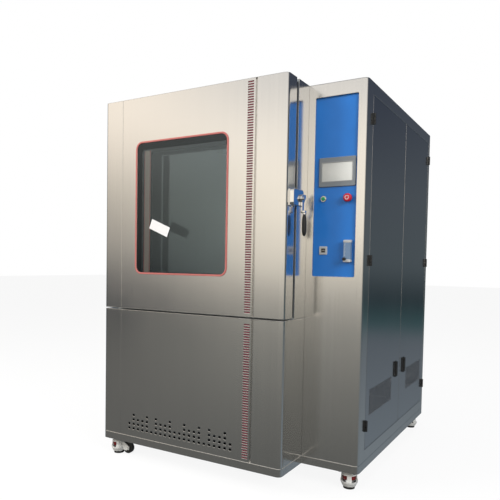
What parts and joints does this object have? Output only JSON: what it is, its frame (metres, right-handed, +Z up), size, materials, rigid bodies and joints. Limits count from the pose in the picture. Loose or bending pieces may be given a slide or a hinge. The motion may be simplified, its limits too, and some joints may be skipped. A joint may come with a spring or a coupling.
{
  "type": "dust test chamber",
  "caption": "Free-standing stainless dust test chamber with a windowed front door, side latch, set-back control cabinet, service doors and levelling casters.",
  "frame": {"origin": "on the floor, under the middle of the bounding box", "axes": "+Z up, the door and the control panel face -Y, +X is to the right of someone who faces the door"},
  "size_m": [1.429, 1.593, 1.952],
  "materials": {
    "stainless_panel": "vertical brushed grain",
    "side_panel": "vertical brushed grain",
    "inner_steel": "satin",
    "frame_paint": "satin grey",
    "panel_blue": "fine satin blue",
    "trim_red": "satin dark red",
    "strip_red": "satin dark red",
    "clear_glass": "clear",
    "clear_acrylic": "clear moulded block",
    "spacer_dark": "dark matt",
    "seal_rubber": "soft black",
    "wool": "mineral wool",
    "foam": "mineral wool",
    "hinge_black": "satin black",
    "hinge_steel": "satin",
    "latch_chrome": "polished",
    "duct_steel": "galvanised",
    "blower_paint": "satin grey",
    "impeller_alloy": "cast",
    "motor_paint": "painted blue grey",
    "pump_paint": "painted dark grey",
    "module_plastic": "light grey",
    "bezel_grey": "satin grey",
    "ring_metal": "satin",
    "button_green": "satin",
    "button_red": "satin",
    "socket_grey": "light grey",
    "knob_black": "matt",
    "float_metal": "polished",
    "handle_black": "fine matt",
    "caster_white": "white powder coat",
    "caster_nylon": "matt",
    "thumb_red": "satin",
    "pad_rubber": "matt"
  },
  "bodies": {
    "body": {"base_frame": "frame_paint", "chamber_side_panels": "stainless_panel", "top_panel": "stainless_panel", "rear_panel": "stainless_panel", "power_inlet": "knob_black", "lower_front_panel": "stainless_panel", "lower_strip_backing": "strip_red", "door_hinge_posts": "hinge_steel", "latch_strike": "latch_chrome", "chamber_liner": "inner_steel", "insulation": "wool", "specimen_shelf": "inner_steel", "circulation_duct": "duct_steel", "blower_housing": "blower_paint", "drive_motors": "motor_paint", "vacuum_pump": "pump_paint", "electrical_panel": "module_plastic", "cabinet_frame": "side_panel", "control_panel": "panel_blue", "touch_panel": "bezel_grey", "button_rings": "ring_metal", "flow_meter_body": "clear_acrylic", "specimen_socket": "socket_grey", "service_hinges": "hinge_black"},
    "main_door": {"door_shell": "stainless_panel", "door_liner": "inner_steel", "door_insulation": "foam", "door_gasket": "seal_rubber", "window_trim": "trim_red", "window_panes": "clear_glass", "window_spacer": "spacer_dark", "door_strip_backing": "strip_red", "door_hinge_leaves": "hinge_steel", "latch_base": "latch_chrome"},
    "latch": {"latch_lever": "latch_chrome"},
    "impeller": {"blower_impeller": "impeller_alloy"},
    "start_cap": {"start_button": "button_green"},
    "stop_cap": {"emergency_button": "button_red"},
    "valve_knob": {"flow_meter_knob": "knob_black"},
    "float": {"flow_meter_float": "float_metal"},
    "front_service_door": {"service_door_front": "side_panel"},
    "rear_service_door": {"service_door_rear": "side_panel"},
    "front_service_handle": {"service_handle_front": "handle_black"},
    "rear_service_handle": {"service_handle_rear": "handle_black"},
    "front_left_swivel": {"caster_housing_front_left": "caster_white"},
    "front_left_wheel": {"caster_wheel_front_left": "caster_nylon"},
    "front_left_thumbwheel": {"caster_thumbwheel_front_left": "thumb_red"},
    "front_left_foot": {"caster_foot_front_left": "pad_rubber"},
    "front_right_swivel": {"caster_housing_front_right": "caster_white"},
    "front_right_wheel": {"caster_wheel_front_right": "caster_nylon"},
    "front_right_thumbwheel": {"caster_thumbwheel_front_right": "thumb_red"},
    "front_right_foot": {"caster_foot_front_right": "pad_rubber"},
    "rear_left_swivel": {"caster_housing_rear_left": "caster_white"},
    "rear_left_wheel": {"caster_wheel_rear_left": "caster_nylon"},
    "rear_left_thumbwheel": {"caster_thumbwheel_rear_left": "thumb_red"},
    "rear_left_foot": {"caster_foot_rear_left": "pad_rubber"},
    "rear_right_swivel": {"caster_housing_rear_right": "caster_white"},
    "rear_right_wheel": {"caster_wheel_rear_right": "caster_nylon"},
    "rear_right_thumbwheel": {"caster_thumbwheel_rear_right": "thumb_red"},
    "rear_right_foot": {"caster_foot_rear_right": "pad_rubber"}
  },
  "joints": [
    {"name": "main_door_hinge", "type": "hinge", "parent": "body", "child": "main_door", "pos_m": [-0.708, -0.688, 1.389], "axis": [0, 0, -1], "range_deg": [0, 120]},
    {"name": "latch_turn", "type": "hinge", "parent": "main_door", "child": "latch", "pos_m": [0.4345, -0.6775, 1.393], "axis": [-1, 0, 0], "range_deg": [0, 90]},
    {"name": "front_service_door_hinge", "type": "hinge", "parent": "body", "child": "front_service_door", "pos_m": [0.708, -0.4655, 1.041], "axis": [0, 0, -1], "range_deg": [0, 115]},
    {"name": "rear_service_door_hinge", "type": "hinge", "parent": "body", "child": "rear_service_door", "pos_m": [0.708, 0.7315, 1.041], "axis": [0, 0, 1], "range_deg": [0, 115]},
    {"name": "front_service_handle_turn", "type": "hinge", "parent": "front_service_door", "child": "front_service_handle", "pos_m": [0.708, 0.0655, 0.467], "axis": [0, 1, 0], "range_deg": [0, 60]},
    {"name": "rear_service_handle_turn", "type": "hinge", "parent": "rear_service_door", "child": "rear_service_handle", "pos_m": [0.708, 0.2375, 0.467], "axis": [0, 1, 0], "range_deg": [0, 60]},
    {"name": "start_push", "type": "slide", "parent": "body", "child": "start_cap", "axis": [0, 1, 0], "range_m": [0, 0.003], "stiffness_N_per_m": 800, "springref_m": -0.002},
    {"name": "emergency_push", "type": "slide", "parent": "body", "child": "stop_cap", "axis": [0, 1, 0], "range_m": [0, 0.004]},
    {"name": "valve_turn", "type": "hinge", "parent": "body", "child": "valve_knob", "pos_m": [0.6125, -0.57, 1.114], "axis": [0, -1, 0], "range_deg": [0, 1800]},
    {"name": "float_rise", "type": "slide", "parent": "body", "child": "float", "axis": [0, 0, 1], "range_m": [0, 0.052]},
    {"name": "impeller_spin", "type": "hinge", "parent": "body", "child": "impeller", "pos_m": [-0.1455, 0.48, 0.322], "axis": [0, 1, 0], "continuous": true},
    {"name": "front_left_swivel", "type": "hinge", "parent": "body", "child": "front_left_swivel", "pos_m": [-0.6395, -0.7315, 0.08], "axis": [0, 0, 1], "continuous": true},
    {"name": "front_left_roll", "type": "hinge", "parent": "front_left_swivel", "child": "front_left_wheel", "pos_m": [-0.57746, -0.72056, 0.0335], "axis": [-0.1736, 0.9848, 0], "continuous": true},
    {"name": "front_left_screw_turn", "type": "hinge", "parent": "front_left_swivel", "child": "front_left_thumbwheel", "pos_m": [-0.6395, -0.7315, 0.0545], "axis": [0, 0, -1], "range_deg": [0, 2400]},
    {"name": "front_left_foot_slide", "type": "slide", "parent": "front_left_swivel", "child": "front_left_foot", "axis": [0, 0, 1], "range_m": [0, 0.01]},
    {"name": "front_right_swivel", "type": "hinge", "parent": "body", "child": "front_right_swivel", "pos_m": [0.6395, -0.4945, 0.08], "axis": [0, 0, 1], "continuous": true},
    {"name": "front_right_roll", "type": "hinge", "parent": "front_right_swivel", "child": "front_right_wheel", "pos_m": [0.61795, -0.4353, 0.0335], "axis": [-0.9397, -0.342, 0], "continuous": true},
    {"name": "front_right_screw_turn", "type": "hinge", "parent": "front_right_swivel", "child": "front_right_thumbwheel", "pos_m": [0.6395, -0.4945, 0.0545], "axis": [0, 0, -1], "range_deg": [0, 2400]},
    {"name": "front_right_foot_slide", "type": "slide", "parent": "front_right_swivel", "child": "front_right_foot", "axis": [0, 0, 1], "range_m": [0, 0.01]},
    {"name": "rear_left_swivel", "type": "hinge", "parent": "body", "child": "rear_left_swivel", "pos_m": [-0.6395, 0.7315, 0.08], "axis": [0, 0, 1], "continuous": true},
    {"name": "rear_left_roll", "type": "hinge", "parent": "rear_left_swivel", "child": "rear_left_wheel", "pos_m": [-0.58494, 0.763, 0.0335], "axis": [-0.5, 0.866, 0], "continuous": true},
    {"name": "rear_left_screw_turn", "type": "hinge", "parent": "rear_left_swivel", "child": "rear_left_thumbwheel", "pos_m": [-0.6395, 0.7315, 0.0545], "axis": [0, 0, -1], "range_deg": [0, 2400]},
    {"name": "rear_left_foot_slide", "type": "slide", "parent": "rear_left_swivel", "child": "rear_left_foot", "axis": [0, 0, 1], "range_m": [0, 0.01]},
    {"name": "rear_right_swivel", "type": "hinge", "parent": "body", "child": "rear_right_swivel", "pos_m": [0.6395, 0.7315, 0.08], "axis": [0, 0, 1], "continuous": true},
    {"name": "rear_right_roll", "type": "hinge", "parent": "rear_right_swivel", "child": "rear_right_wheel", "pos_m": [0.58494, 0.763, 0.0335], "axis": [-0.5, -0.866, 0], "continuous": true},
    {"name": "rear_right_screw_turn", "type": "hinge", "parent": "rear_right_swivel", "child": "rear_right_thumbwheel", "pos_m": [0.6395, 0.7315, 0.0545], "axis": [0, 0, -1], "range_deg": [0, 2400]},
    {"name": "rear_right_foot_slide", "type": "slide", "parent": "rear_right_swivel", "child": "rear_right_foot", "axis": [0, 0, 1], "range_m": [0, 0.01]}
  ],
  "couplings": [
    {"joint": "front_left_screw_turn", "follows": "front_left_foot_slide", "rad_per_m": 4188},
    {"joint": "front_right_screw_turn", "follows": "front_right_foot_slide", "rad_per_m": 4188},
    {"joint": "rear_left_screw_turn", "follows": "rear_left_foot_slide", "rad_per_m": 4188},
    {"joint": "rear_right_screw_turn", "follows": "rear_right_foot_slide", "rad_per_m": 4188}
  ]
}
